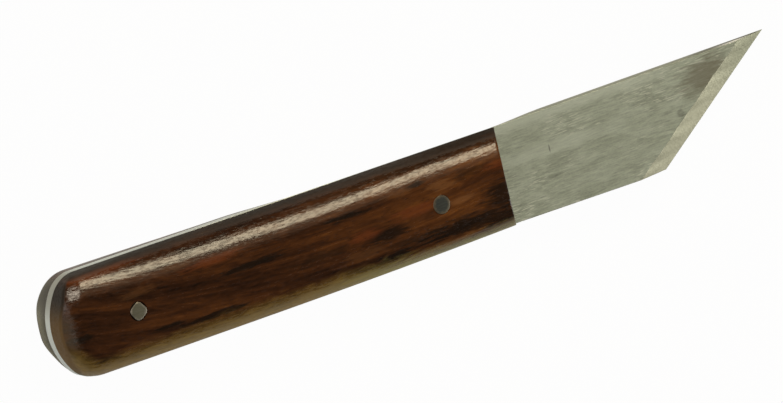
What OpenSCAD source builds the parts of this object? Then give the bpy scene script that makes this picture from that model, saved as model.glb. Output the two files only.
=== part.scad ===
// Marking knife: a skew blade with a full tang between two riveted wooden scales.
// It lies on its lower scale: +X runs from the butt to the point, +Y to the spine, +Z to the bevelled side.

/* [Blade] */
// Length of the whole knife, from the butt to the point
overall_len = 178; // [165:1:200]
// Width of the blade, from the spine to the lower edge
blade_w = 21; // [18:0.5:26]
// Thickness of the steel, the same in the blade and the tang
blade_t = 2; // [1.5:0.1:3]
// Length of the blade's lower edge, from the handle to the heel of the cutting edge
heel_len = 38.3; // [25:0.1:44]
// How far the lower edge drops on its way from the handle to the heel
heel_drop = 0.45; // [0:0.05:1]
// Width of the ground bevel, square to the cutting edge
bevel_w = 4.3; // [3:0.1:7]

/* [Handle] */
// Length of the handle, from the butt to the front of the scales
handle_len = 110; // [100:1:120]
// How far the handle swells past the blade's spine line near the butt
rear_flare = 1; // [0:0.1:2.5]
// How far it swells past the blade's lower edge near the butt
rear_drop = 0.25; // [0:0.05:0.5]
// How far its lower side swells at its fullest
belly = 0.5; // [0.25:0.05:2]
// Distance of that fullest place from the butt
belly_at = 62; // [40:1:80]
// Thickness of each wooden scale
scale_t = 6; // [4:0.25:9]
// Radius of the rounding along the scales' long edges
long_edge_r = 9; // [7:0.25:12]
// Height of the wall left under the spine rounding, at the butt
spine_wall_rear = 1.5; // [0.2:0.1:3]
// Height of that wall at the front of the scales
spine_wall_front = 0.2; // [0.2:0.1:3]
// Height of the wall left under the lower rounding
lower_wall = 1.6; // [0.2:0.1:3]
// Radius of the broad curve round the butt
butt_r = 14.5; // [13.5:0.5:40]
// Radius of the two corners where the butt curve meets the sides
butt_corner_r = 6.5; // [3:0.5:8]
// How far the front ends of the scales lean back from the blade
front_lean = 3.2; // [1:0.1:6]
// Length of the eased flat at the butt end of each scale's face
butt_ease_len = 5.5; // [2:0.25:9]
// Drop of that eased flat at the butt
butt_ease_drop = 0.8; // [0.2:0.1:2]

/* [Pins] */
// Diameter of the rivet pins
pin_d = 4; // [2:0.1:6]
// Distance of the front pin behind the front of the handle
front_pin_setback = 19; // [10:0.5:35]
// Distance of the rear pin from the butt
rear_pin_setback = 17.5; // [12:0.5:35]
// Radial clearance of the pins in their holes
pin_clearance = 0.02; // [0.01:0.01:0.1]

/* [Hidden] */
$fn = 96;

// Length of uncut stock past each end of a piece, before it is cut to its outline
stock = 10;
// Reach of the shapes that cut it
reach = 2 * (overall_len + stock);
// A rounding circle stands this far past the faces that it joins, so that it crosses them cleanly
blend = 0.02;

lower_y = -blade_w / 2;
spine_y = blade_w / 2;
heel_x = handle_len + heel_len;
blade_stock_x = overall_len + stock;
heel = [heel_x, lower_y - heel_drop];
edge_angle = atan2(spine_y - heel.y, overall_len - heel_x);
bevel_angle = atan2(blade_t, bevel_w);

// Butt outline: one broad arc joined to the two sides by corner arcs that touch it
butt_half_w = (blade_w + rear_flare + rear_drop) / 2;
butt_mid_y = (rear_flare - rear_drop) / 2;
corner_off = butt_half_w - butt_corner_r;
corner_x = butt_r - sqrt(pow(butt_r - butt_corner_r, 2) - pow(corner_off, 2));
corner_angle = atan2(corner_off, butt_r - corner_x);
upper_corner = [corner_x, butt_mid_y + corner_off];
lower_corner = [corner_x, butt_mid_y - corner_off];

// Spine side of the handle: the line from the blade's spine that touches the upper corner arc
front_spine = [handle_len, spine_y];
to_front = front_spine - upper_corner;
touch_angle = atan2(to_front.y, to_front.x) + acos(butt_corner_r / norm(to_front));
spine_slope = touch_angle - 90;

// Lower side of the handle: one line from the blade to the fullest place, one on to the lower corner arc
fullest = [belly_at, lower_y - belly];
to_fullest = fullest - lower_corner;
lower_touch_angle = atan2(to_fullest.y, to_fullest.x) - acos(butt_corner_r / norm(to_fullest));

// Points on the sides and on the handle's middle line, at a place along the knife
function handle_spine(x) = [x, spine_y + (x - handle_len) * tan(spine_slope)];
function lower_front(x) = [x, lower_y + (x - handle_len) * belly / (handle_len - belly_at)];
function lower_rear(x) = [x, fullest.y + (x - belly_at) * tan(lower_touch_angle + 90)];
function blade_edge(x) = [x, lower_y - (x - handle_len) * heel_drop / heel_len];
function handle_middle(x) = (handle_spine(x) + [x, lower_y]) / 2;

handle_t = blade_t + 2 * scale_t;
knife_mid_y = (rear_flare - max(belly, rear_drop, heel_drop)) / 2;
ease_angle = atan2(butt_ease_drop, butt_ease_len);
lean_angle = atan2(front_lean, scale_t);
hole_d = pin_d + 2 * pin_clearance;
front_pin_place = handle_middle(handle_len - front_pin_setback);
rear_pin_place = handle_middle(rear_pin_setback);

// How far inside the edge a long rounding begins, when it leaves a wall of this height under it
function inset(wall) = [0, sqrt(pow(long_edge_r, 2) - pow(max(0, long_edge_r - scale_t + wall), 2))];

// Moves a piece from the knife's own axes (butt, blade centre line, middle of the steel) to its resting place
module laid_down()
    translate([-overall_len / 2, -knife_mid_y, handle_t / 2])
        children();

// Everything above the plane z = 0
module above()
    translate([-reach, -reach, 0])
        cube([2 * reach, 2 * reach, reach]);

// Direction of an angle in the plan
function toward(angle) = [cos(angle), sin(angle)];

// What lies outside a corner arc, between the directions of its two ends
module corner_waste(centre, from, to)
    translate(centre)
        difference() {
            polygon([[0, 0], reach * toward(from), reach * toward(to)]);
            circle(butt_corner_r + blend);
        }

// What lies outside the broad arc of the butt
module butt_waste()
    translate([butt_r, butt_mid_y])
        difference() {
            translate([-reach, -reach / 2])
                square(reach);
            circle(butt_r);
        }

// A slab with the butt's outline at one end and the given points at the other
module butt_slab(front_points, h)
    linear_extrude(h)
        difference() {
            polygon(concat(front_points, [handle_spine(-stock), lower_rear(-stock), fullest]));
            butt_waste();
            corner_waste(upper_corner, touch_angle, 180 - corner_angle);
            corner_waste(lower_corner, 180 + corner_angle, 360 + lower_touch_angle);
        }

// What a long rounding takes off to the left of the line between two places, where it begins
module long_edge_waste(from, to)
    translate([from.x, from.y, scale_t - long_edge_r])
        rotate(atan2(to.y - from.y, to.x - from.x))
            translate([-reach, 0, 0])
                rotate([90, 0, 90])
                    linear_extrude(2 * reach)
                        difference() {
                            square(reach);
                            circle(long_edge_r + blend);
                        }

module pin_holes()
    for (place = [front_pin_place, rear_pin_place])
        translate([place.x, place.y, -reach / 2])
            cylinder(d = hole_d, h = reach);

// One scale, lying on z = 0 with its glued face down
module scale_blank()
    difference() {
        butt_slab([lower_front(handle_len + stock), handle_spine(handle_len + stock)], scale_t);
        // Rounded lower edge, along the line in front of the fullest place and the line behind it
        long_edge_waste(lower_front(handle_len) + inset(lower_wall), fullest + inset(lower_wall));
        long_edge_waste(fullest + inset(lower_wall), lower_rear(corner_x) + inset(lower_wall));
        // Rounded spine edge
        long_edge_waste(handle_spine(corner_x) - inset(spine_wall_rear), front_spine - inset(spine_wall_front));
        // Face eased down towards the butt
        translate([butt_ease_len, 0, scale_t])
            rotate([0, -ease_angle, 0])
                above();
        // Front end leaning back from the blade
        translate([handle_len, 0, 0])
            rotate([0, 90 - lean_angle, 0])
                above();
        pin_holes();
    }

module blade()
    color("silver")
        laid_down()
            translate([0, 0, -blade_t / 2])
                difference() {
                    butt_slab([blade_edge(handle_len), blade_edge(blade_stock_x), [blade_stock_x, spine_y], front_spine],
                              blade_t);
                    // Single bevel, ground on the upper side down to the cutting edge
                    translate([heel.x, heel.y, 0])
                        rotate(edge_angle)
                            rotate([bevel_angle, 0, 0])
                                above();
                    pin_holes();
                }

module upper_scale()
    color("saddlebrown")
        laid_down()
            translate([0, 0, blade_t / 2])
                scale_blank();

module lower_scale()
    color("saddlebrown")
        laid_down()
            mirror([0, 0, 1])
                translate([0, 0, blade_t / 2])
                    scale_blank();

module rivet_pin(place)
    color("slategray")
        laid_down()
            translate([place.x, place.y, -handle_t / 2])
                cylinder(d = pin_d, h = handle_t);

module front_pin()
    rivet_pin(front_pin_place);

module rear_pin()
    rivet_pin(rear_pin_place);

blade();
upper_scale();
lower_scale();
front_pin();
rear_pin();
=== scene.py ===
# %% [markdown]
# # A marking knife with riveted wooden scales
# The knife is five pieces: a flat steel blade whose tang runs to the butt, two wooden scales and two pins.
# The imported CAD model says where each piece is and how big, so it is loaded first and stays fixed.
# Each piece is then rebuilt as a finer surface in the same place, with its own finish.

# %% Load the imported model
import math

import bmesh
import bpy
import numpy as np
from mathutils import Matrix, Vector


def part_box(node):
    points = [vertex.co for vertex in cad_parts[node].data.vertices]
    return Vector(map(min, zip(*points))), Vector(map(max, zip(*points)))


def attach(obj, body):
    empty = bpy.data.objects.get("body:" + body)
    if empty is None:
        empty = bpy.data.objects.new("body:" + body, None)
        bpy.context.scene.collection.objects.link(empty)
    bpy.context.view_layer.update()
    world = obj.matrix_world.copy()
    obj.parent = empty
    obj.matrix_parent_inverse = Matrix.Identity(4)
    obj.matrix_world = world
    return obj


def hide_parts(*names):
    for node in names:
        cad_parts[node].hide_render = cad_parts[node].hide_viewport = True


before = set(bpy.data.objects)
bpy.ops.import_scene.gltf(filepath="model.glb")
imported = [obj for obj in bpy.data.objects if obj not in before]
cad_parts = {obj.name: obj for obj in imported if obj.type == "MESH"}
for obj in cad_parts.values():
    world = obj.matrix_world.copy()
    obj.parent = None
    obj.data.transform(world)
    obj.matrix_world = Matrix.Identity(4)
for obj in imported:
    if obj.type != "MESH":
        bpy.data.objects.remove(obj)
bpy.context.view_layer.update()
scene = bpy.context.scene
print("CAD nodes:", sorted(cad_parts))

# %% [markdown]
# ## Sizes taken from the CAD nodes
# Lengths on the knife are in millimetres: x runs from the butt to the point, y towards the spine, z up.
# The floor and the lamps are in metres. The sizes of the pieces could be typed in again,
# but read from the boxes of the nodes they stay with the solids.

# %% Read the boxes
MM = 0.001


def node_box(name):
    """Lowest and highest corner of a CAD node, in millimetres."""
    low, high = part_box(name)
    return np.array(low) / MM, np.array(high) / MM


steel_low, steel_high = node_box("blade")
wood_low, wood_high = node_box("upper_scale")
butt_x = wood_low[0]
handle_front_x = wood_high[0]
point_x = steel_high[0]
scale_t = wood_high[2] - wood_low[2]
steel_t = steel_high[2] - steel_low[2]
print("handle", round(handle_front_x - butt_x, 2), "mm, steel", round(steel_t, 2), "mm thick")

# %% [markdown]
# ## The outline of the handle
# Seen from above, the handle has a straight spine, a lower side with a slight belly, and a round butt:
# one broad arc with a tighter arc at each corner. Straight lines would do for the sides,
# but sanding leaves the belly as a smooth curve, so it is two parabolas here.

# %% The curves inside the boxes
butt_r = 14.5
corner_r = 6.5
rear_flare = 1.0
rear_drop = 0.25
belly = 0.49
belly_from_butt = 62.0
spine_spare = 0.005
lower_spare = 0.01

blade_spine_y = wood_high[1] - spine_spare - rear_flare
lower_y = wood_low[1] + lower_spare + belly
butt_top_y = blade_spine_y + rear_flare
butt_low_y = lower_y - rear_drop
butt_mid_y = (butt_top_y + butt_low_y) / 2
butt_half_w = (butt_top_y - butt_low_y) / 2
corner_off = butt_half_w - corner_r
broad_x = butt_x + butt_r
corner_x = broad_x - math.sqrt((butt_r - corner_r) ** 2 - corner_off**2)
corner_turn = math.atan2(corner_off, broad_x - corner_x)
spine_slope = (blade_spine_y - butt_top_y) / (handle_front_x - corner_x)
belly_x = butt_x + belly_from_butt


def spine_line(x):
    """Spine side of the handle in the plan: a straight line from the butt corner to the blade's spine."""
    return blade_spine_y + (x - handle_front_x) * spine_slope


def lower_line(x):
    """Lower side of the handle in the plan: two parabolas that meet level where the belly is fullest."""
    ahead = np.clip((x - belly_x) / (handle_front_x - belly_x), 0.0, 1.0)
    behind = np.clip((belly_x - x) / (belly_x - corner_x), 0.0, 1.0)
    return lower_y - belly * (1 - ahead**2) + (belly - rear_drop) * behind**2


def pin_place(name):
    """Middle of a pin in the plan."""
    low, high = node_box(name)
    return (low[:2] + high[:2]) / 2


front_pin_at = pin_place("front_pin")
rear_pin_at = pin_place("rear_pin")
pin_r = (node_box("front_pin")[1][0] - node_box("front_pin")[0][0]) / 2
pin_clearance = 0.02
hole_r = pin_r + pin_clearance
print("pins at", front_pin_at.round(2), rear_pin_at.round(2), "radius", round(pin_r, 3))

# %% [markdown]
# ## The camera
# The photo looks down on the knife from behind its butt, through a long lens, with little perspective.
# Two directions say it all: the way back to the camera, and the way that is up in the picture.
# The distance and the lens go together and set how many pixels a millimetre takes.

# %% Camera
IMAGE_W = 783
px_per_mm = 4.8512
camera_distance = 3388.0
sensor_w = 36.0
knife_middle = Vector((0.0, -0.25, 7.0))
aim_left = 5.26
aim_up = 0.785
camera_back = Vector((-0.4503, 0.2153, 0.8666)).normalized()
picture_up = Vector((0.2999, 0.9507, -0.0803)).normalized()
picture_right = picture_up.cross(camera_back).normalized()
picture_up = camera_back.cross(picture_right)
aim = knife_middle - aim_left * picture_right + aim_up * picture_up

camera_data = bpy.data.cameras.new("photo_camera")
camera_data.sensor_fit = "HORIZONTAL"
camera_data.sensor_width = sensor_w
camera_data.lens = px_per_mm * camera_distance / IMAGE_W * sensor_w
camera = bpy.data.objects.new("photo_camera", camera_data)
scene.collection.objects.link(camera)
turn = Matrix((picture_right, picture_up, camera_back)).transposed()
camera.matrix_world = Matrix.Translation((aim + camera_distance * camera_back) * MM) @ turn.to_4x4()
scene.camera = camera
scene.view_settings.view_transform = "Standard"
print("lens", round(camera_data.lens, 1), "mm at", round(camera_distance * MM, 2), "m")

# %% [markdown]
# ## Node helpers
# Materials are written as node trees. Wiring each node by hand would bury the idea in links,
# so small helpers add a node and fill its inputs, do arithmetic, carry a value smoothly from one range
# to another, and lay one colour over another.

# %% Helpers that add one node


def add_node(tree, kind, inputs=None, **settings):
    """Adds a node, applies its settings, and fills each given input with a value or links a socket to it."""
    made = tree.nodes.new(kind)
    for key, value in settings.items():
        setattr(made, key, value)
    for key, value in (inputs or {}).items():
        if isinstance(value, bpy.types.NodeSocket):
            tree.links.new(value, made.inputs[key])
        else:
            made.inputs[key].default_value = value
    return made


def maths(tree, operation, a, b=0.0, c=0.0):
    """Result of one arithmetic node."""
    return add_node(tree, "ShaderNodeMath", {0: a, 1: b, 2: c}, operation=operation).outputs[0]


def smooth_range(tree, value, low, high, to_low=0.0, to_high=1.0):
    """Carried smoothly from to_low to to_high as the value goes from low to high."""
    inputs = {"Value": value, "From Min": low, "From Max": high, "To Min": to_low, "To Max": to_high}
    made = add_node(tree, "ShaderNodeMapRange", inputs, interpolation_type="SMOOTHSTEP")
    return made.outputs["Result"]


def colour_mix(tree, amount, under, over):
    """One colour laid over another by an amount."""
    lower, upper = [c if isinstance(c, bpy.types.NodeSocket) else (*c, 1.0) for c in (under, over)]
    made = add_node(tree, "ShaderNodeMix", {0: amount, 6: lower, 7: upper}, data_type="RGBA")
    return made.outputs[2]


def colour_ramp(tree, value, stops):
    """Colour read off a scale of (place, colour) stops."""
    made = add_node(tree, "ShaderNodeValToRGB", {"Fac": value})
    scale = made.color_ramp
    while len(scale.elements) < len(stops):
        scale.elements.new(1.0)
    for element, (place, colour) in zip(scale.elements, stops):
        element.position = place
        element.color = (*colour, 1.0)
    return made.outputs["Color"]


def split(tree, place):
    """The X, Y and Z of a place."""
    return add_node(tree, "ShaderNodeSeparateXYZ", {0: place}).outputs


print("single node helpers ready")

# %% Helpers that chain nodes


def product(tree, *values):
    """All values multiplied together."""
    total = values[0]
    for value in values[1:]:
        total = maths(tree, "MULTIPLY", total, value)
    return total


def weighted_sum(tree, start, *pairs):
    """A start value plus each (value, weight) pair multiplied out."""
    for value, weight in pairs:
        start = maths(tree, "MULTIPLY_ADD", value, weight, start)
    return start


def reach(tree, a, b):
    """Length of the step (a, b): the square root of a squared plus b squared."""
    return maths(tree, "SQRT", maths(tree, "MULTIPLY_ADD", a, a, maths(tree, "MULTIPLY", b, b)))


def stain(tree, under, mask, strength, colour):
    """A colour laid over another where a mask is, at a given strength."""
    return colour_mix(tree, maths(tree, "MULTIPLY", mask, strength), under, colour)


def new_group(name, inputs, outputs):
    """A shader node group with named sockets; returns its tree, its inputs and its output node."""
    tree = bpy.data.node_groups.new(name, "ShaderNodeTree")
    for socket, kind, start in inputs:
        made = tree.interface.new_socket(socket, in_out="INPUT", socket_type="NodeSocket" + kind)
        if start is not None:
            made.default_value = start
    for socket, kind in outputs:
        tree.interface.new_socket(socket, in_out="OUTPUT", socket_type="NodeSocket" + kind)
    return tree, tree.nodes.new("NodeGroupInput").outputs, tree.nodes.new("NodeGroupOutput")


def use_group(tree, group, inputs):
    """Places a node group in a tree and returns its outputs."""
    return add_node(tree, "ShaderNodeGroup", inputs, node_tree=group).outputs


def new_material(name):
    """An empty material: its tree, its Principled shader and its Object coordinates in millimetres."""
    material = bpy.data.materials.new(name)
    material.use_nodes = True
    tree = material.node_tree
    shader = tree.nodes["Principled BSDF"]
    place = add_node(tree, "ShaderNodeTexCoord").outputs["Object"]
    scaled = add_node(tree, "ShaderNodeMapping", {"Vector": place, "Scale": (1 / MM, 1 / MM, 1 / MM)})
    return material, tree, shader, scaled.outputs["Vector"]


def connect(tree, shader, tint, roughness, metallic=0.0):
    """Links a colour and a roughness to the shader, and says whether it is metal."""
    tree.links.new(tint, shader.inputs["Base Color"])
    tree.links.new(roughness, shader.inputs["Roughness"])
    shader.inputs["Metallic"].default_value = metallic


def emboss(tree, shader, height, strength, depth):
    """Bump on the shader's normal, where a height of one stands for a depth in millimetres."""
    bump = add_node(tree, "ShaderNodeBump", {"Strength": strength, "Distance": depth * MM, "Height": height})
    tree.links.new(bump.outputs["Normal"], shader.inputs["Normal"])


print("chain helpers ready")

# %% [markdown]
# ## The floor
# The photo shows the knife on plain white. Paper lit by lamps alone would change its white with every lamp,
# so the floor itself gives out most of the white that the camera sees, and about a third in reflections,
# which keeps the steel from washing out. Seen from below, the floor lets the view through.

# %% Floor
floor_half = 4.0
floor_z = -0.0002
white_to_camera = 0.975
white_in_mirrors = 0.34

floor_mesh = bpy.data.meshes.new("floor")
floor_corners = floor_half * np.array([[-1, -1, 0], [1, -1, 0], [1, 1, 0], [-1, 1, 0]], float)
floor_corners[:, 2] = floor_z
floor_mesh.from_pydata(floor_corners.tolist(), [], [[0, 1, 2, 3]])
floor = bpy.data.objects.new("floor", floor_mesh)
scene.collection.objects.link(floor)

paper, tree, shader, place = new_material("white_paper")
fibre = add_node(tree, "ShaderNodeTexNoise", {"Vector": place, "Scale": 0.03, "Detail": 2.0})
paper_stops = [(0.3, (0.76, 0.72, 0.58)), (0.7, (0.78, 0.74, 0.60))]
paper_tint = colour_ramp(tree, fibre.outputs["Fac"], paper_stops)
tree.links.new(paper_tint, shader.inputs["Base Color"])
shader.inputs["Roughness"].default_value = 0.9
shader.inputs["Specular IOR Level"].default_value = 0.0
glow = add_node(tree, "ShaderNodeEmission", {"Color": (1.0, 1.0, 1.0, 1.0), "Strength": 1.0})
rays = add_node(tree, "ShaderNodeLightPath").outputs
mirrored = maths(tree, "MAXIMUM", rays["Is Glossy Ray"], rays["Is Transmission Ray"])
seen = product(tree, rays["Is Camera Ray"], white_to_camera)
glow_share = maths(tree, "MAXIMUM", product(tree, mirrored, white_in_mirrors), seen)
lit = add_node(tree, "ShaderNodeMixShader", {0: glow_share, 1: shader.outputs[0], 2: glow.outputs[0]})
clear = add_node(tree, "ShaderNodeBsdfTransparent")
underside = add_node(tree, "ShaderNodeNewGeometry").outputs["Backfacing"]
both = add_node(tree, "ShaderNodeMixShader", {0: underside, 1: lit.outputs[0], 2: clear.outputs[0]})
tree.links.new(both.outputs[0], tree.nodes["Material Output"].inputs["Surface"])
floor_mesh.materials.append(paper)
print("floor", 2 * floor_half, "m square")

# %% [markdown]
# ## Light and world
# The photo's light comes from large soft sources. The long highlight along the spine is one of them,
# mirrored in the lacquer. One big lamp could not set that highlight and the tone of the steel at once.
# So five soft lamps share the work: a window and a weak warm glow beside it draw the highlight,
# one from the spine side catches the eased flat at the butt, a broad one overhead lights the faces,
# and one ahead of the point lights the bevel. The world around them is dim.

# %% Lights and world
light_distance = 0.9
soft_lights = [
    ("window_softbox", (0.43, 0.704, 0.549), 0.24, 0.24, 2.05, (1.0, 0.87, 0.61)),
    ("window_glow", (0.42, 0.50, 0.75), 0.26, 0.30, 0.12, (1.0, 0.76, 0.52)),
    ("side_softbox", (0.09, 0.64, 0.76), 0.14, 0.27, 1.35, (1.0, 0.87, 0.70)),
    ("overhead_softbox", (-0.55, 0.20, 0.81), 0.70, 0.70, 2.3, (1.0, 0.96, 0.90)),
    ("front_fill", (0.85, -0.38, 0.40), 0.45, 0.45, 2.2, (1.0, 0.98, 0.95)),
]


def soft_light(name, direction, width, height, power, colour):
    """A rectangular area lamp in a direction from the knife, facing it."""
    data = bpy.data.lights.new(name, "AREA")
    data.shape = "RECTANGLE"
    data.size = width
    data.size_y = height
    data.energy = power
    data.color = colour
    lamp = bpy.data.objects.new(name, data)
    away = Vector(direction).normalized()
    lamp.location = away * light_distance
    lamp.rotation_mode = "QUATERNION"
    lamp.rotation_quaternion = away.to_track_quat("Z", "Y")
    scene.collection.objects.link(lamp)


for light in soft_lights:
    soft_light(*light)
world = bpy.data.worlds.new("dim_studio")
world.use_nodes = True
background = world.node_tree.nodes["Background"].inputs
background["Color"].default_value = (0.95, 1.0, 1.0, 1.0)
background["Strength"].default_value = 0.03
scene.world = world

# %% [markdown]
# ## Putting a surface into a mesh
# Every piece is one closed skin of faces over grids of points. Modifiers could thicken and cap a sheet,
# but a skin that is closed from the start shows exactly what was meant. The grids share rims, so doubled
# points are merged and the faces turned outwards. A count of edges without two faces would show a gap.

# %% Mesh helpers
merge_within = 1e-7


def grid_quads(numbers, closed=False):
    """Corner numbers of the faces between neighbouring rows and columns of a grid of point numbers."""
    if closed:
        numbers = np.hstack([numbers, numbers[:, :1]])
    corners = [numbers[:-1, :-1], numbers[:-1, 1:], numbers[1:, 1:], numbers[1:, :-1]]
    return np.stack(corners, axis=-1).reshape(-1, 4)


def strip_quads(one, other):
    """Faces between two equally long rows of point numbers."""
    return grid_quads(np.stack([one, other]))


def number_grid(points, first=0):
    """Point numbers laid out like a grid of points, counted up from the first."""
    return first + np.arange(points[..., 0].size).reshape(points.shape[:2])


def make_piece(name, points, quads, crease=35.0):
    """Closed piece from points in millimetres and faces: doubled points merged, faces turned outwards."""
    mesh = bpy.data.meshes.new(name)
    mesh.from_pydata((points * MM).tolist(), [], quads.tolist())
    skin = bmesh.new()
    skin.from_mesh(mesh)
    bmesh.ops.remove_doubles(skin, verts=skin.verts, dist=merge_within)
    bmesh.ops.recalc_face_normals(skin, faces=skin.faces)
    gaps = sum(len(edge.link_faces) != 2 for edge in skin.edges)
    skin.to_mesh(mesh)
    skin.free()
    mesh.shade_smooth()
    mesh.set_sharp_from_angle(angle=math.radians(crease))
    piece = bpy.data.objects.new(name, mesh)
    scene.collection.objects.link(piece)
    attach(piece, "root")
    print(name, len(mesh.vertices), "points,", len(mesh.polygons), "faces, open edges:", gaps)
    return piece


print("mesh helpers ready")

# %% [markdown]
# ## The wooden scales
# A maker saws a scale from a slab, bores it, glues it on, and sands it: long edges rounded over,
# a flat eased down at the butt, the front end sawn leaning back, and every sharp edge broken with paper.
# A box with a bevel modifier would round all its edges alike. Here each cut is a distance that is positive
# in the waste, and the wood is where all are negative. Where two cuts meet, a soft maximum breaks the edge.

# %% Soft steps and soft edges


def soft_max(a, b, ease):
    """The larger of two distances, raised by (ease - |a - b|)^2 / (4 ease) where they nearly agree."""
    near = np.maximum(ease - np.abs(a - b), 0.0)
    return np.maximum(a, b) + near * near / (4 * ease)


def smooth(value, start, end):
    """Rises from 0 to 1 between start and end along 3 t^2 - 2 t^3."""
    t = np.clip((value - start) / (end - start), 0.0, 1.0)
    return t * t * (3 - 2 * t)


print("halfway up a soft step:", smooth(0.5, 0.0, 1.0))

# %% [markdown]
# ## The cuts that shape a scale
# The scales are sanded by hand, so they are not mirror images. On the upper one the wall under the spine
# rounding is taller at both ends and leans in a little. The front half of the lower one is tucked in under
# the tang, and its butt leans back. On both, the crease of the eased flat bends forward near the spine,
# and the lower corner of the butt is rounded off most.

# %% Rounded edges and butt
turn_r = 9.0
wall_least = 0.2
wall_at_butt = 1.35
upper_front_wall = 0.9
upper_rear_wall = 0.75
lower_rear_wall = 0.85
spine_r_front = 8.9
spine_r_growth = 1.0
tuck_most = 0.43


def spine_wall(x, tucked):
    """Height of the wall under the spine rounding: tallest at the butt, with its own rises on each scale."""
    upper_ends = upper_front_wall * smooth(x, -28.0, 2.0) + upper_rear_wall * smooth(x, -70.0, -85.0)
    lower_rear = lower_rear_wall * smooth(x, -20.0, -45.0)
    return wall_least + wall_at_butt * smooth(x, -45.0, -82.0) + np.where(tucked, lower_rear, upper_ends)


def spine_round_r(x):
    """Radius of the spine rounding, which grows towards the butt."""
    return spine_r_front + spine_r_growth * smooth(x, 0.0, -35.0)


def tuck(x):
    """How far the spine side is sanded in below: most in the front half of the handle, less either way."""
    return tuck_most * smooth(x, -45.0, -27.0) * smooth(x, 34.0, 21.0)


def past_rounding(side, end, h, wall, radius):
    """Distance outside a round-over above a wall of the given height, from the insets to side and end."""
    inset = turn_r - np.hypot(np.maximum(turn_r - side, 0.0), np.maximum(turn_r - end, 0.0))
    begin = np.sqrt(radius**2 - (radius - scale_t + wall) ** 2)
    return np.hypot(np.maximum(begin - inset, 0.0), h + radius - scale_t) - radius


def butt_inset(x, y):
    """Distance inside the butt in the plan: from the broad arc in its sector, else from the corner arcs."""
    off = np.abs(y - butt_mid_y)
    broad = butt_r - np.hypot(x - broad_x, off)
    corner = corner_r - np.hypot(x - corner_x, off - corner_off)
    inset = np.where(off <= (broad_x - x) * math.tan(corner_turn), broad, corner)
    return np.where(x < corner_x, inset, butt_half_w)


print("spine wall at mid-handle and butt:", spine_wall(np.array([-30.0, -85.0]), False).round(2))

# %% All cuts together
front_lean = 3.2
front_break = 0.06
edge_break = 0.4
corner_break_most = 2.6
ease_len = 4.9
ease_drop = 0.9
ease_bend = 1.7
crease_ease = 0.5
lower_wall = 1.6
lower_round_r = 9.0
spine_end_out = 5.5
tucked_end_in = 2.3
lower_end_out = 3.6
spine_lean = 0.14
butt_lean = 0.10
butt_lean_loss = 0.07


def past_wood(x, y, h, tucked):
    """How far a point at height h over the glued face lies outside the finished scale."""
    spine_inset = spine_line(x) - tucked * tuck(x) - y
    lower_inset = y - lower_line(x)
    ease_x = butt_x + ease_len + ease_bend * smooth(y, 5.0, 9.5)
    eased_h = h + soft_max(ease_x - x, 0.0, crease_ease) * ease_drop / ease_len
    spine_end = x - butt_x + spine_end_out - tucked_end_in * tucked
    lower_end = x - butt_x + lower_end_out
    upper = past_rounding(spine_inset, spine_end, eased_h, spine_wall(x, tucked), spine_round_r(x))
    lower = past_rounding(lower_inset, lower_end, eased_h, lower_wall, lower_round_r)
    lean_rate = tucked * (butt_lean - butt_lean_loss * smooth(y, 0.0, 7.0))
    lean_back = lean_rate * h * smooth(x, corner_x, corner_x - 4.0)
    leaning_inset = spine_inset - spine_lean * (1 - tucked) * h
    wall = lean_back - np.minimum(np.minimum(leaning_inset, lower_inset), butt_inset(x, y))
    lean = math.atan2(front_lean, scale_t)
    front = (x - handle_front_x) * math.cos(lean) + h * math.sin(lean)
    low_corner = smooth(y, -1.5, -6.5) * smooth(x, corner_x + 1.0, corner_x - 5.0)
    shape = soft_max(np.maximum(upper, lower), wall, edge_break + corner_break_most * low_corner)
    return soft_max(shape, front, front_break)


print("middle of a scale is", round(float(-past_wood(-30.0, 0.0, 3.0, 0)), 2), "mm deep")

# %% [markdown]
# ## A skin found by rays
# A height map would stretch on the steep walls, so each point of the skin is where a ray meets the shape.
# The rays start on the line between the two pins and fan out round each pin, so the inner rim of the skin
# is a slot round both pins. A flat strip between the pins fills the slot and leaves two round holes.

# %% Rays to the shape
halvings = 40
fan_steps = 240
side_steps = 160


def ray_length(start, way, most, tucked):
    """Multiple of each ray at which the shape ends, by halving the span between inside and outside."""
    near = np.zeros(np.broadcast(start[0], way[0]).shape)
    far = np.full_like(near, most)
    for _ in range(halvings):
        middle = (near + far) / 2
        at = [begin + middle * step for begin, step in zip(start, way)]
        inside = past_wood(*at, tucked) < 0
        near = np.where(inside, middle, near)
        far = np.where(inside, far, middle)
    return (near + far) / 2


fan = np.radians(np.linspace(-90.0, 90.0, fan_steps, endpoint=False))
along = np.linspace(0.0, 1.0, side_steps, endpoint=False)
side_turn = np.full(side_steps, np.pi / 2)
turns = np.concatenate([fan, side_turn, fan + np.pi, -side_turn])
share = np.concatenate([np.zeros(fan_steps), along, np.ones(fan_steps), 1.0 - along])
core_x = front_pin_at[0] + share * (rear_pin_at[0] - front_pin_at[0])
core_y = front_pin_at[1] + share * (rear_pin_at[1] - front_pin_at[1])
rim_x = np.cos(turns)
rim_y = np.sin(turns)
print(len(turns), "rays round each level of a scale")

# %% Points of one scale
wall_steps = 22
face_steps = 46
cross_steps = 24
far_out = 100.0
crowding = 1.2


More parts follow.
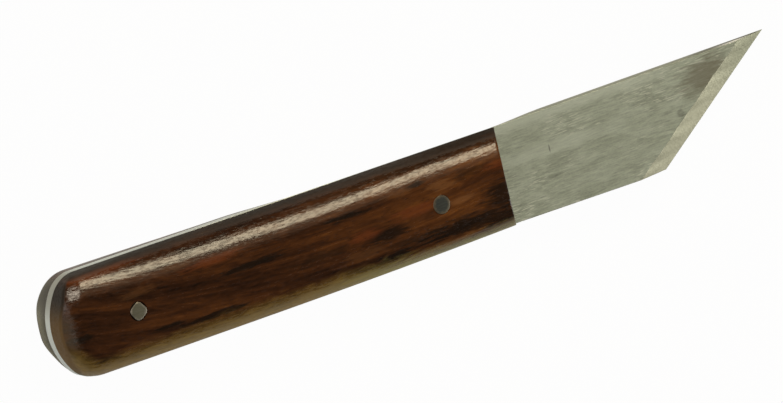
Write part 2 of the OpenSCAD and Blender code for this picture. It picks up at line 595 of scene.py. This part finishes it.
def scale_skin(tucked):
    """Rows of points: from the slot on the glued face out to the rim, up the wall and over to the slot.

    Each point is its ray's start, plus the ray times the length at which it leaves the wood.
    """
    out = ray_length((core_x, core_y, 0.0), (rim_x * far_out, rim_y * far_out, 0.0), 1.0, tucked) * far_out
    rise = np.linspace(0.0, 1.0, wall_steps)[:, None]
    inward = np.linspace(0.0, 1.0, face_steps + 1)[1:, None] ** crowding
    out_share = np.vstack([np.ones_like(rise) + 0 * out, 1.0 - inward * (1.0 - hole_r / out)])
    up_share = np.vstack([rise, np.ones_like(inward)]) + 0 * out
    way = (out_share * out * rim_x, out_share * out * rim_y, up_share * scale_t)
    length = ray_length((core_x, core_y, 0.0), way, 2.0, tucked)
    rows = np.stack([core_x + length * way[0], core_y + length * way[1], length * way[2]], axis=-1)
    slot = np.stack([core_x + hole_r * rim_x, core_y + hole_r * rim_y, 0 * core_x], axis=-1)
    rows[-1] = slot + [0.0, 0.0, scale_t]
    return np.concatenate([slot[None], rows])


def slot_strip(height):
    """Flat strip between the two holes: its ends follow the holes, its sides follow the slot."""
    turn_in = np.radians(np.linspace(-90.0, 90.0, cross_steps + 1))[:, None]
    go = np.linspace(0.0, 1.0, side_steps + 1)
    start = front_pin_at[0] - hole_r * np.cos(turn_in)
    end = rear_pin_at[0] + hole_r * np.cos(turn_in)
    x = start + go * (end - start)
    middle_y = front_pin_at[1] + go * (rear_pin_at[1] - front_pin_at[1])
    y = middle_y + hole_r * np.sin(turn_in)
    return np.stack([x, y, np.full_like(x, height)], axis=-1)


print(wall_steps, "levels up the wall and", face_steps, "rings over the face")

# %% Build both scales


def build_scale(name, glued_z, side):
    """A whole scale, its glued face at glued_z, its own face to the given side: +1 up, -1 down and tucked."""
    skin = scale_skin(tucked=side < 0)
    floor_strip = slot_strip(0.0)
    face_strip = slot_strip(scale_t)
    skin_no = number_grid(skin)
    floor_no = number_grid(floor_strip, skin_no.size)
    face_no = floor_no + floor_no.size
    bores = [strip_quads(floor_no[:, 0], face_no[:, 0]), strip_quads(floor_no[:, -1], face_no[:, -1])]
    for first in (0, fan_steps + side_steps):
        half = (first + np.arange(fan_steps + 1)) % len(turns)
        bores.append(strip_quads(skin_no[0, half], skin_no[-1, half]))
    quads = np.vstack([grid_quads(skin_no, closed=True), grid_quads(floor_no), grid_quads(face_no), *bores])
    points = np.vstack([skin.reshape(-1, 3), floor_strip.reshape(-1, 3), face_strip.reshape(-1, 3)])
    points[:, 2] = glued_z + side * points[:, 2]
    return make_piece(name, points, quads)


upper_wood = build_scale("upper_scale_wood", wood_low[2], 1)
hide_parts("upper_scale")
lower_wood = build_scale("lower_scale_wood", steel_low[2], -1)
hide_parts("lower_scale")

# %% [markdown]
# ## The steel
# The blade and its tang are one strip of flat bar, sawn off at a skew, with a bevel ground on the upper side.
# A flat plate would do for the shape, but a file has eased the long edges of the bar. So a cross-section
# with small quarter-rounds is carried from the butt to the cutting edge, and thins along the bevel.

# %% Outline of the steel
heel_len = 38.3
heel_drop = 0.45
bevel_w = 4.3
heel_x = handle_front_x + heel_len
heel_y = lower_y - heel_drop
edge_turn = math.atan2(blade_spine_y - heel_y, point_x - heel_x)
grind_run = bevel_w / math.sin(edge_turn)


def butt_outline(y):
    """Place of the butt's outline at a distance from the middle line: the broad arc, then the corner arc."""
    reach_y = np.minimum(np.abs(y - butt_mid_y), butt_half_w)
    broad = broad_x - np.sqrt(butt_r**2 - reach_y**2)
    corner = corner_x - np.sqrt(np.maximum(corner_r**2 - (reach_y - corner_off) ** 2, 0.0))
    return np.where(reach_y <= butt_r * math.sin(corner_turn), broad, corner)


def cutting_edge(y):
    """Place of the skew cutting edge at a distance from the middle line."""
    return heel_x + (y - heel_y) / math.tan(edge_turn)


def grind_line(y):
    """Inner border of the bevel: the edge moved back by the grind, with the small waver of hand grinding."""
    waver = 0.10 * np.sin(0.9 * y + 0.4) + 0.06 * np.sin(2.3 * y)
    return cutting_edge(y) - grind_run + waver


print("bevel run along the blade", round(grind_run, 2), "mm")

# %% Cross-section of the steel
steel_ease = 0.08
edge_land = 0.03
full_ease_t = 2.5 * steel_ease
round_steps = 5
across_steps = 61

quarter = np.radians(np.linspace(0.0, 90.0, round_steps + 1))[1:]
across = np.sin(np.radians(np.linspace(-90.0, 90.0, across_steps)))
rounded_out = steel_ease * np.sin(quarter)
rounded_drop = steel_ease * (1 - np.cos(quarter))
half_share = np.concatenate([-np.ones(round_steps), across, np.ones(round_steps)])
half_out = np.concatenate([-rounded_out[::-1], np.zeros(across_steps), rounded_out])
half_drop = np.concatenate([rounded_drop[::-1], np.zeros(across_steps), rounded_drop])


def section_y(top, low):
    """Places across the strip of one face's points, quarter-rounds included, between its two long sides."""
    return (top + low) / 2 + half_share * ((top - low) / 2 - steel_ease) + half_out


print(len(half_share), "points across each face of the steel")

# %% Build the steel
tang_steps = 24
flat_steps = 30
bevel_steps = 8
tuck_fade = 12


def between(one, other, steps):
    """Straight stations from one row of plan points towards another, without the last."""
    t = np.linspace(0.0, 1.0, steps, endpoint=False)[:, None, None]
    return one + t * (other - one)


def steel_skin():
    """Points of the strip: one closed loop round the section for each station from butt to cutting edge.

    Along the bevel the thickness falls in a straight line from the bar's to the land at the edge.
    """
    butt_edge_x = butt_outline(section_y(butt_top_y, butt_low_y))
    tang_share = np.linspace(0.0, 1.0, tang_steps, endpoint=False)[:, None]
    tang_x = butt_edge_x + tang_share * (handle_front_x - butt_edge_x)
    tang_y = section_y(np.minimum(spine_line(tang_x), butt_top_y), lower_line(tang_x))
    front_y = section_y(blade_spine_y, lower_y)
    edge_y = section_y(blade_spine_y, heel_y)
    tang = np.stack([tang_x, tang_y], axis=-1)
    front = np.stack([np.full_like(front_y, handle_front_x), front_y], axis=-1)
    edge = np.stack([cutting_edge(edge_y), edge_y], axis=-1)
    back = (edge[:, :1] - grind_line(edge_y)[:, None]) / (edge[:, :1] - handle_front_x)
    grind = edge + back * (front - edge)
    flat_part = between(front, grind, flat_steps)
    bevel_part = between(grind, edge, bevel_steps)
    plan = np.concatenate([tang, flat_part, bevel_part, edge[None]])
    bevel_share = np.arange(bevel_steps + 1) / bevel_steps
    thin = np.concatenate([np.zeros(tang_steps + flat_steps), bevel_share])[:, None]
    thick = steel_t + thin * (edge_land - steel_t)
    drop = half_drop * np.minimum(1.0, thick / full_ease_t)
    top = steel_low[2] + thick - drop
    bottom = steel_low[2] + drop
    upper = np.concatenate([plan, top[..., None]], axis=-1)
    tucked_plan = plan.copy()
    tucked_plan[..., 1] -= tuck(plan[..., 0]) * np.maximum(half_share, 0.0) ** tuck_fade
    lower = np.concatenate([tucked_plan, bottom[..., None]], axis=-1)
    return np.concatenate([upper, lower[:, ::-1]], axis=1)


def build_blade():
    """The strip's skin, closed at the butt and along the cutting edge."""
    skin = steel_skin()
    numbers = number_grid(skin)
    half = skin.shape[1] // 2
    ends = [strip_quads(row[:half], row[half:][::-1]) for row in (numbers[0], numbers[-1])]
    quads = np.vstack([grid_quads(numbers, closed=True), *ends])
    return make_piece("blade_steel", skin.reshape(-1, 3), quads, crease=14.0)


blade = build_blade()
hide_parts("blade")

# %% [markdown]
# ## The pins
# Each pin is a short steel rod, riveted over and then sanded flush with the wood. A cylinder would have
# a razor rim. A profile turned round the axis gives a slightly domed end with a soft rim.
# Hammered ends are never true circles, so the radius wavers: nearly round in front, four-lobed at the rear.

# %% Build the pins
bottom_z = node_box("lower_scale")[0][2]
pin_length = wood_high[2] - bottom_z
round_points = 96
cap_steps = 9
rim_steps = 7
cap_dome = 0.02
rim_width = 0.12
rim_drop = 0.08
cap_end_r = pin_r - 0.15
angle = np.linspace(0.0, 2 * np.pi, round_points, endpoint=False)
nearly_round = 0.99 + 0.006 * np.sin(5 * angle + 0.7) + 0.004 * np.sin(8 * angle)
four_lobed = 0.895 + 0.06 * np.cos(4 * angle + 0.7) + 0.04 * np.cos(angle + 0.8)


def build_pin(name, place, draw):
    """A rod turned from a profile of (radius, height), its radius drawn in by a share for each angle."""
    rim_turn = np.radians(np.linspace(0.0, 90.0, rim_steps))
    rim_r = pin_r - rim_width + rim_width * np.sin(rim_turn)
    cap_r = np.concatenate([np.linspace(0.0, cap_end_r, cap_steps), rim_r])
    dome_drop = cap_dome * np.linspace(0.0, 0.9, cap_steps) ** 2
    cap_drop = np.concatenate([dome_drop, cap_dome + rim_drop * (1 - np.cos(rim_turn))])
    radius = np.concatenate([cap_r, cap_r[::-1]])[:, None] * draw
    height = bottom_z + np.concatenate([pin_length - cap_drop, cap_drop[::-1]])[:, None]
    x = place[0] + radius * np.cos(angle)
    y = place[1] + radius * np.sin(angle)
    points = np.stack([x, y, np.broadcast_to(height, x.shape)], axis=-1)
    return make_piece(name, points.reshape(-1, 3), grid_quads(number_grid(points), closed=True))


front_pin = build_pin("front_pin_steel", front_pin_at, nearly_round)
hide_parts("front_pin")
rear_pin = build_pin("rear_pin_steel", rear_pin_at, four_lobed)
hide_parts("rear_pin")

# %% [markdown]
# ## Streaks that several finishes share
# Wood grain, drawn steel and filed pins all show marks that are long one way and narrow the other.
# A wave texture would space them evenly. One node group stretches noise instead,
# with the length and width of its marks in millimetres.

# %% Streak group
streaks, given, out = new_group(
    "lengthwise_streaks",
    [("Place", "Vector", None), ("Length", "Float", 10.0), ("Width", "Float", 1.0), ("Detail", "Float", 2.0),
     ("Waver", "Float", 0.0), ("Shift", "Float", 0.0)],
    [("Streak", "Float")],
)
mark = add_node(streaks, "ShaderNodeCombineXYZ", {0: given["Length"], 1: given["Width"], 2: given["Width"]})
vector_maths = "ShaderNodeVectorMath"
squeezed = add_node(streaks, vector_maths, {0: given["Place"], 1: mark.outputs[0]}, operation="DIVIDE")
moved = add_node(streaks, vector_maths, {0: squeezed.outputs[0], 1: given["Shift"]}, operation="ADD")
noise = add_node(
    streaks, "ShaderNodeTexNoise",
    {"Vector": moved.outputs[0], "Scale": 1.0, "Detail": given["Detail"], "Distortion": given["Waver"]},
)
streaks.links.new(noise.outputs["Fac"], out.inputs["Streak"])


def streak(tree, place, length, width, detail=2.0, waver=0.0, shift=0.0):
    """Streaks of a length and width; another shift gives another set of them."""
    inputs = {"Place": place, "Length": length, "Width": width, "Detail": detail}
    return use_group(tree, streaks, {**inputs, "Waver": waver, "Shift": shift})["Streak"]


print("streak group:", [socket.name for socket in given if socket.name])

# %% [markdown]
# ## Spots that several finishes share
# A dark flame in the wood and a stain on the steel are both soft spots with a torn border at a certain place.
# A painted mask would need a picture. This group measures how far a place is from the middle of an ellipse
# and tears the border with streaks.

# %% Spot group
spot, given, out = new_group(
    "ragged_spot",
    [("Place", "Vector", None), ("Along", "Float", 0.0), ("Across", "Float", 0.0), ("Length", "Float", 5.0),
     ("Width", "Float", 2.0), ("Raggedness", "Float", 0.5)],
    [("Mask", "Float")],
)
x, y, _ = split(spot, given["Place"])
far_x = maths(spot, "DIVIDE", maths(spot, "SUBTRACT", x, given["Along"]), given["Length"])
far_y = maths(spot, "DIVIDE", maths(spot, "SUBTRACT", y, given["Across"]), given["Width"])
torn = streak(spot, given["Place"], 4.0, 0.6, detail=4.0, waver=0.6)
torn_by = maths(spot, "MULTIPLY", maths(spot, "SUBTRACT", torn, 0.5), given["Raggedness"])
mask = smooth_range(spot, maths(spot, "SUBTRACT", reach(spot, far_x, far_y), torn_by), 1.0, 0.35)
spot.links.new(mask, out.inputs["Mask"])


def spots(tree, place, marks, raggedness):
    """Strongest of several ragged spots, each given as place along, place across, length and width."""
    most = 0.0
    for mark in marks:
        inputs = dict(zip(("Along", "Across", "Length", "Width"), mark))
        made = use_group(tree, spot, {**inputs, "Place": place, "Raggedness": raggedness})
        most = maths(tree, "MAXIMUM", most, made["Mask"])
    return most


print("groups:", [group.name for group in bpy.data.node_groups])

# %% [markdown]
# ## Lacquered hardwood: grain and ground colour
# The wood is dark chocolate brown towards the butt and oranger towards the blade.
# A picture of wood or a plain wave texture would repeat. Here the grain follows slightly bent lines,
# and noise stretched along them gives broad colour, narrow veins, mottling and fine pores.

# %% Grain lines and ground colour
wood, tree, shader, place = new_material("lacquered_rosewood")
x, y, z = split(tree, place)
bend_x = -55.0
bend_rate = 0.00164
bend_start = -0.12
from_bend = maths(tree, "SUBTRACT", x, bend_x)
bend_slope = weighted_sum(tree, bend_start, (from_bend, bend_rate))
bent_y = maths(tree, "SUBTRACT", y, product(tree, from_bend, bend_slope))
grain = add_node(tree, "ShaderNodeCombineXYZ", {0: x, 1: bent_y, 2: z}).outputs[0]

broad = streak(tree, grain, 34.0, 3.4, detail=3.0, waver=0.5, shift=3.0)
narrow = streak(tree, grain, 14.0, 0.62, detail=4.0, waver=0.3, shift=8.0)
mottle = streak(tree, grain, 5.0, 1.5, detail=5.0, waver=1.2, shift=21.0)
pores = streak(tree, grain, 1.6, 0.13, detail=1.0, shift=5.0)
warmth = smooth_range(tree, x, -35.0, 6.0)
tone_start = -0.645
tone = weighted_sum(tree, tone_start, (broad, 0.9), (narrow, 0.45), (mottle, 0.55), (warmth, 0.20))
wood_stops = [
    (0.05, (0.020, 0.008, 0.0035)), (0.30, (0.058, 0.0205, 0.007)), (0.52, (0.108, 0.037, 0.010)),
    (0.75, (0.200, 0.070, 0.015)), (1.0, (0.30, 0.112, 0.024)),
]
wood_tint = colour_ramp(tree, tone, wood_stops)
print("wood runs through", len(wood_stops), "browns")

# %% [markdown]
# ## Lacquered hardwood: flames and streaks
# The figure that the eye remembers is near-black flames, red streaks and paler brown places. Two of the
# pale places, just under the spine highlight, are painted highlight that widens its glow.
# Noise alone would scatter them anywhere, so they are ragged spots laid where the photo's knife has them.

# %% Flames and streaks
dark_flames = [
    (-11.5, -2.4, 7.0, 1.8), (7.0, -6.0, 17.0, 2.6), (-3.0, 5.6, 3.5, 0.7), (17.2, -2.7, 7.6, 4.6),
    (-20.0, 4.2, 8.0, 0.9), (15.0, -7.0, 9.0, 2.2), (-10.3, -7.0, 7.0, 1.3), (-54.0, -6.0, 12.0, 0.9),
    (-65.5, -5.0, 5.0, 0.8), (-85.6, -1.4, 3.2, 1.5), (-45.0, 1.5, 12.0, 1.0),
]
red_streaks = [
    (-77.0, 9.9, 13.0, 1.0), (16.0, 4.0, 5.0, 1.2), (-4.0, 0.5, 8.0, 1.6), (-17.0, -1.0, 5.0, 1.6),
    (-52.0, 5.0, 9.0, 1.2),
]
dim_streaks = [(4.0, 9.2, 30.0, 1.6), (10.2, 4.3, 7.0, 1.3), (-8.0, -5.0, 8.0, 1.2), (-28.0, -2.0, 9.0, 1.4)]
# Paler wood, except the two streaks at -60 and -7 just under the spine highlight: painted glow of it.
faint_streaks_and_glow = [
    (-71.0, 3.9, 6.0, 1.3), (-60.0, 6.3, 5.0, 1.0), (-18.0, -4.7, 6.0, 1.5), (-7.0, 5.0, 5.0, 1.1),
    (-71.0, -6.7, 8.0, 1.5),
]
pale_streaks = [(3.0, 3.9, 4.5, 1.4), (6.0, -0.5, 5.0, 1.0)]
pale_brown = (0.30, 0.13, 0.045)
figure = [
    (dark_flames, 1.6, 0.85, (0.012, 0.008, 0.005)),
    (red_streaks, 1.4, 0.38, (0.26, 0.064, 0.018)),
    (dim_streaks, 1.8, 0.55, (0.022, 0.012, 0.006)),
    (faint_streaks_and_glow, 1.6, 0.18, pale_brown),
    (pale_streaks, 1.8, 0.40, pale_brown),
]
for marks, raggedness, strength, colour in figure:
    wood_tint = stain(tree, wood_tint, spots(tree, place, marks, raggedness), strength, colour)
pore_mask = smooth_range(tree, pores, 0.36, 0.28)
wood_tint = stain(tree, wood_tint, pore_mask, 0.5, (0.010, 0.006, 0.004))
print(sum(len(marks) for marks, *_ in figure), "marks in the figure of the wood")

# %% [markdown]
# ## Lacquered hardwood: painted sheen on the lower edge
# Along the lower edge and round the lower corner of the butt the wood is painted pale, tan behind and straw
# in front: a painted reflection of the white floor, which the lower rounding mirrors at a grazing angle.
# A straight stripe would look painted, so the band fades in towards the edge, torn by mottling and veins.

# %% Painted floor sheen along the lower edge
rear_tan = (0.43, 0.28, 0.07)
front_straw = (0.50, 0.49, 0.14)
past_corner = maths(tree, "MINIMUM", maths(tree, "SUBTRACT", x, corner_x), 0.0)
past_corner = product(tree, past_corner, smooth_range(tree, y, 1.0, -9.0))
below = maths(tree, "MINIMUM", maths(tree, "SUBTRACT", y, butt_mid_y - corner_off), 0.0)
corner_away = reach(tree, past_corner, below)
band_start = smooth_range(tree, x, -25.0, 5.0, 1.9, 3.8)
ragged = weighted_sum(tree, maths(tree, "SUBTRACT", corner_away, 1.5), (mottle, 3.0))
# Painted reflection of the floor: strongest at the lower edge, torn by the grain.
pale_floor_sheen = product(
    tree, smooth_range(tree, maths(tree, "SUBTRACT", ragged, band_start), -0.4, 4.0),
    smooth_range(tree, narrow, 0.2, 0.7, 0.6, 0.95), smooth_range(tree, x, -66.0, -80.0, 1.0, 0.9),
)
wood_tint = colour_mix(tree, pale_floor_sheen, wood_tint, colour_mix(tree, warmth, rear_tan, front_straw))
print("pale band below y", round(butt_mid_y - corner_off, 2), "mm")

# %% [markdown]
# ## Lacquered hardwood: spine rim, end grain and painted shade
# The sanded wall along the spine of the upper scale is painted nearly black: painted shade for the dark
# that it mirrors. A faint tan rim runs inside the butt, whose end grain is brown on the upper scale and
# pale grey on the lower one, painted paler towards the floor as light bounced up from it. Painted shade
# darkens the end grain of both towards the spine.
# Separate materials would leave hard borders, so each is a soft mask from the place on the knife.

# %% Spine rim and end grain
spine_in = maths(tree, "SUBTRACT", weighted_sum(tree, spine_line(0.0), (x, spine_slope)), y)
on_upper = smooth_range(tree, z, 6.5, 7.5)
dark_from = smooth_range(tree, x, -70.0, -40.0, 1.3, 2.4)
# Painted shade: the upper scale's spine wall darkened nearly to black.
spine_painted_shade = product(tree, smooth_range(tree, spine_in, dark_from, 0.2, 0.0, 0.88), on_upper)
wood_tint = colour_mix(tree, spine_painted_shade, wood_tint, (0.014, 0.009, 0.005))

out_x = maths(tree, "SUBTRACT", x, broad_x)
out_y = maths(tree, "SUBTRACT", y, butt_mid_y)
out_r = reach(tree, out_x, out_y)
butt_rim = product(
    tree, smooth_range(tree, out_r, 11.0, 14.2), smooth_range(tree, y, 5.0, 2.0),
    smooth_range(tree, x, -76.0, -82.0),
)
wood_tint = stain(tree, wood_tint, butt_rim, 0.12, rear_tan)
end_grain = product(tree, smooth_range(tree, out_r, 13.9, 14.3), smooth_range(tree, x, -80.0, -85.0))
# Painted shade darkens the end grain towards the spine; painted light from the floor makes the lower scale's
# end grain paler towards the floor.
spine_shade_mask = smooth_range(tree, y, 1.5, 7.5)
upper_end = colour_mix(tree, spine_shade_mask, (0.22, 0.13, 0.050), (0.010, 0.006, 0.002))
floor_bounce_glow = smooth_range(tree, z, 6.0, 2.0)
lower_end = colour_mix(tree, floor_bounce_glow, (0.13, 0.125, 0.08), (0.48, 0.49, 0.38))
# Painted shade on the lower scale's end grain towards the spine.
lower_end = stain(tree, lower_end, smooth_range(tree, y, 2.0, 7.5), 0.7, (0.03, 0.03, 0.02))
wood_tint = stain(tree, wood_tint, end_grain, 0.85, colour_mix(tree, on_upper, lower_end, upper_end))
print("spine rim and end grain on a butt of radius", butt_r, "mm")

# %% [markdown]
# ## Lacquered hardwood: the lacquer
# Thin lacquer follows the grain in ripples and small specks, so its highlight is broken up. A coat layer
# could carry the gloss, but the shader's own is enough: sharp on the lacquer, and matt on the pale band,
# the tan rim, the upper scale's end grain and its spine rim. Hand sanding leaves the spine rounding
# not quite true, so the relief also leans by under two degrees there, which shifts the highlight a little.

# %% Lacquer
ripple = streak(tree, grain, 5.0, 0.6, shift=1.0)
specks = streak(tree, place, 1.1, 0.45, shift=31.0)
hand_lean = 0.0
for begin, end, rise in [(-44.0, -30.0, -0.75), (-13.0, 8.0, 1.35), (-67.0, -75.0, 0.4)]:
    hand_lean = weighted_sum(tree, hand_lean, (smooth_range(tree, x, begin, end), rise))
from_highlight = smooth_range(tree, y, 4.5, 10.5, -2.0, 2.0)
relief_parts = [(ripple, 0.8), (specks, 0.50), (pore_mask, -0.10), (from_highlight, hand_lean)]
emboss(tree, shader, weighted_sum(tree, 0.0, *relief_parts), 0.5, 0.08)

gloss = smooth_range(tree, narrow, 0.3, 0.7, 0.11, 0.15)
gloss = maths(tree, "ADD", gloss, smooth_range(tree, specks, 0.45, 0.62, 0.0, 0.13))
matt = product(tree, maths(tree, "MAXIMUM", pale_floor_sheen, butt_rim), 0.30)
spine_rim = smooth_range(tree, spine_in, 1.6, 0.6)
sanded_rim = product(tree, maths(tree, "MAXIMUM", end_grain, spine_rim), on_upper)
rim_matt = smooth_range(tree, x, -10.0, 12.0, 0.42, 0.75)
matt = maths(tree, "MAXIMUM", matt, product(tree, sanded_rim, rim_matt))
connect(tree, shader, wood_tint, maths(tree, "ADD", gloss, matt))
shader.inputs["Specular IOR Level"].default_value = 0.45
for piece in (upper_wood, lower_wood):
    piece.data.materials.append(wood)
print("wood on", upper_wood.name, "and", lower_wood.name)

# %% [markdown]
# ## Mill steel: the drawn surface
# The flat of the blade is as it came from the mill: satin, with short drawn lines along its length.
# One even grey with a rough gloss would look like plastic, so drawn lines, clouds and grit share the tone,
# and bright dashes come in patches.

# %% Drawn surface
flat, tree, shader, place = new_material("mill_satin_steel")
x, y, z = split(tree, place)
drawn = streak(tree, place, 2.6, 0.30, detail=3.0, shift=2.0)
cloud = streak(tree, place, 6.0, 2.6, detail=5.0, waver=0.6, shift=6.0)
grit = streak(tree, place, 0.55, 0.38, shift=19.0)
dashes = streak(tree, place, 2.2, 0.26, detail=1.0, shift=11.0)
patches = streak(tree, place, 9.0, 5.0, shift=15.0)
shade = weighted_sum(tree, 0.0, (drawn, 0.40), (cloud, 0.45), (grit, 0.15))
steel_stops = [(0.30, (0.325, 0.345, 0.265)), (0.5, (0.61, 0.65, 0.50)), (0.70, (0.89, 0.94, 0.74))]
steel_tint = colour_ramp(tree, shade, steel_stops)
dash_mask = product(tree, smooth_range(tree, dashes, 0.56, 0.65), smooth_range(tree, patches, 0.42, 0.60))
steel_tint = stain(tree, steel_tint, dash_mask, 0.8, (0.95, 0.97, 0.80))
print("drawn steel in", len(steel_stops), "greys")

# %% [markdown]
# ## Mill steel: marks of use
# The flat is rubbed brighter along its middle and in a soft band by the spine. A brown smudge lies near
# the point, a few pits near the bevel, and one short nick on the flat. A scratched picture would tie them to
# one size of image, so they are ragged spots, like the flames in the wood.

# %% Marks of use
rubbed_middle = product(tree, spots(tree, place, [(34.0, 2.0, 20.0, 2.2)], 0.9), 0.42)
by_spine = product(tree, smooth_range(tree, y, 7.4, 9.4), smooth_range(tree, x, 68.0, 54.0), 0.62)
rubbed = maths(tree, "MAXIMUM", rubbed_middle, by_spine)
steel_tint = colour_mix(tree, rubbed, steel_tint, (0.93, 0.98, 0.80))
smudge = spots(tree, place, [(72.8, 5.3, 9.5, 5.0)], 1.3)
steel_tint = stain(tree, steel_tint, smudge, 0.66, (0.27, 0.235, 0.155))
pits = product(tree, spots(tree, place, [(64.6, -0.3, 1.0, 1.5)], 2.6), dashes)
nick = spots(tree, place, [(32.6, 2.0, 0.22, 1.2)], 0.6)
steel_tint = stain(tree, steel_tint, maths(tree, "MAXIMUM", pits, nick), 0.7, (0.14, 0.13, 0.10))
print("rubbed places, a smudge, pits and a nick on the flat")

# %% [markdown]
# ## Mill steel: the narrow sides
# The sides of the bar keep a greyer mill skin along the blade, darker towards the point, where a painted
# glint lies on the upper edge of the spine. Round the rear of the handle they were sanded bright with the
# wood, and painted shade darkens them towards the spine at the butt.
# More materials could paint each face, but the sides are told from the flats by their height in the bar.

# %% Sides of the steel and the whole finish
steel_mid_z = (steel_low[2] + steel_high[2]) / 2
off_middle = maths(tree, "ABSOLUTE", maths(tree, "SUBTRACT", z, steel_mid_z))
on_side = smooth_range(tree, off_middle, 0.9995, 0.985)
past_handle = smooth_range(tree, x, -20.0, 2.0, 0.0, 0.9)
to_point = smooth_range(tree, x, 66.0, 80.0)
skin_tint = colour_mix(tree, to_point, (0.38, 0.40, 0.34), (0.17, 0.17, 0.14))
steel_tint = stain(tree, steel_tint, on_side, past_handle, skin_tint)
at_butt = smooth_range(tree, x, -79.0, -84.0)
# Painted shade: the sanded sides darker towards the spine at the butt.
butt_corner_shade = product(tree, smooth_range(tree, y, 2.0, 7.0), at_butt)
sanded_tint = colour_mix(tree, butt_corner_shade, (0.80, 0.85, 0.84), (0.52, 0.53, 0.49))
sanded = smooth_range(tree, x, -20.0, -45.0)
steel_tint = stain(tree, steel_tint, on_side, sanded, sanded_tint)
# Painted highlight: a bright glint on the spine's upper edge near the point.
spine_tip_glint = product(
    tree, smooth_range(tree, x, 74.0, 81.0), smooth_range(tree, x, 88.0, 85.0),
    smooth_range(tree, z, 6.9, 7.2),
)
steel_tint = stain(tree, steel_tint, on_side, spine_tip_glint, (0.97, 0.98, 0.95))
connect(tree, shader, steel_tint, smooth_range(tree, shade, 0.3, 0.7, 0.58, 0.46), metallic=1.0)
emboss(tree, shader, drawn, 0.4, 0.05)
blade.data.materials.append(flat)
print("mill finish on", blade.name)

# %% [markdown]
# ## Ground steel: the bevel
# The bevel is ground, so it is cleaner than the flat, with fine lines, and a little darker near the point.
# It could be a piece of its own, but the real blade is one piece, so the faces past the grind line
# take a second material. It uses the same streak group as the flat, with other lengths and widths.

# %% Bevel finish
ground, tree, shader, place = new_material("ground_bevel_steel")
x, _, _ = split(tree, place)
line_turn = (0.0, 0.0, math.pi / 2 - edge_turn)
turned = add_node(tree, "ShaderNodeMapping", {"Vector": place, "Rotation": line_turn})
lines = streak(tree, turned.outputs[0], 8.0, 0.3, shift=4.0)
ground_tint = colour_ramp(tree, lines, [(0.3, (0.315, 0.312, 0.222)), (0.7, (0.345, 0.342, 0.247))])
near_point = smooth_range(tree, x, 72.0, 85.0)
ground_tint = stain(tree, ground_tint, near_point, 0.8, (0.235, 0.242, 0.17))
connect(tree, shader, ground_tint, smooth_range(tree, lines, 0.3, 0.7, 0.45, 0.36), metallic=1.0)
emboss(tree, shader, lines, 0.1, 0.02)
blade.data.materials.append(ground)

facing_up = 0.2
face_at = np.zeros(3 * len(blade.data.polygons))
face_way = np.zeros_like(face_at)
blade.data.polygons.foreach_get("center", face_at)
blade.data.polygons.foreach_get("normal", face_way)
face_at = face_at.reshape(-1, 3) / MM
face_way = face_way.reshape(-1, 3)
on_bevel = (face_at[:, 0] > grind_line(face_at[:, 1])) & (face_way[:, 2] > facing_up)
blade.data.polygons.foreach_set("material_index", on_bevel.astype(np.int32))
print(int(on_bevel.sum()), "faces carry the ground finish")

# %% [markdown]
# ## Pin finish
# The pin ends are darker than the blade and carry file scratches in one direction, with a paler rim
# where the hammered burr was sanded off. The front pin is darker than the rear one.
# Two materials would do, but one that knows which pin it is on keeps their scratches alike.

# %% Pin finish
pin_steel, tree, shader, place = new_material("filed_pin_steel")
x, y, _ = split(tree, place)
filed = streak(tree, place, 1.2, 0.12, shift=9.0)
burr = streak(tree, place, 0.7, 0.7, shift=13.0)
is_front = smooth_range(tree, x, -40.0, -30.0)
axis_x = weighted_sum(tree, rear_pin_at[0], (is_front, front_pin_at[0] - rear_pin_at[0]))
axis_y = weighted_sum(tree, rear_pin_at[1], (is_front, front_pin_at[1] - rear_pin_at[1]))
off_x = maths(tree, "SUBTRACT", x, axis_x)
off_y = maths(tree, "SUBTRACT", y, axis_y)
off_axis = reach(tree, off_x, off_y)
rim = smooth_range(tree, weighted_sum(tree, off_axis, (burr, 0.9)), 1.75, 2.15, 0.0, 0.75)
front_tint = colour_ramp(tree, filed, [(0.3, (0.115, 0.12, 0.100)), (0.7, (0.155, 0.16, 0.134))])
front_tint = colour_mix(tree, rim, front_tint, (0.30, 0.25, 0.17))
rear_tint = colour_ramp(tree, filed, [(0.3, (0.30, 0.285, 0.20)), (0.7, (0.40, 0.38, 0.27))])
rear_tint = colour_mix(tree, rim, rear_tint, (0.58, 0.53, 0.42))
pin_tint = colour_mix(tree, is_front, rear_tint, front_tint)
connect(tree, shader, pin_tint, smooth_range(tree, filed, 0.3, 0.7, 0.5, 0.38), metallic=1.0)
for piece in (front_pin, rear_pin):
    piece.data.materials.append(pin_steel)
print("pin finish on", front_pin.name, "and", rear_pin.name)
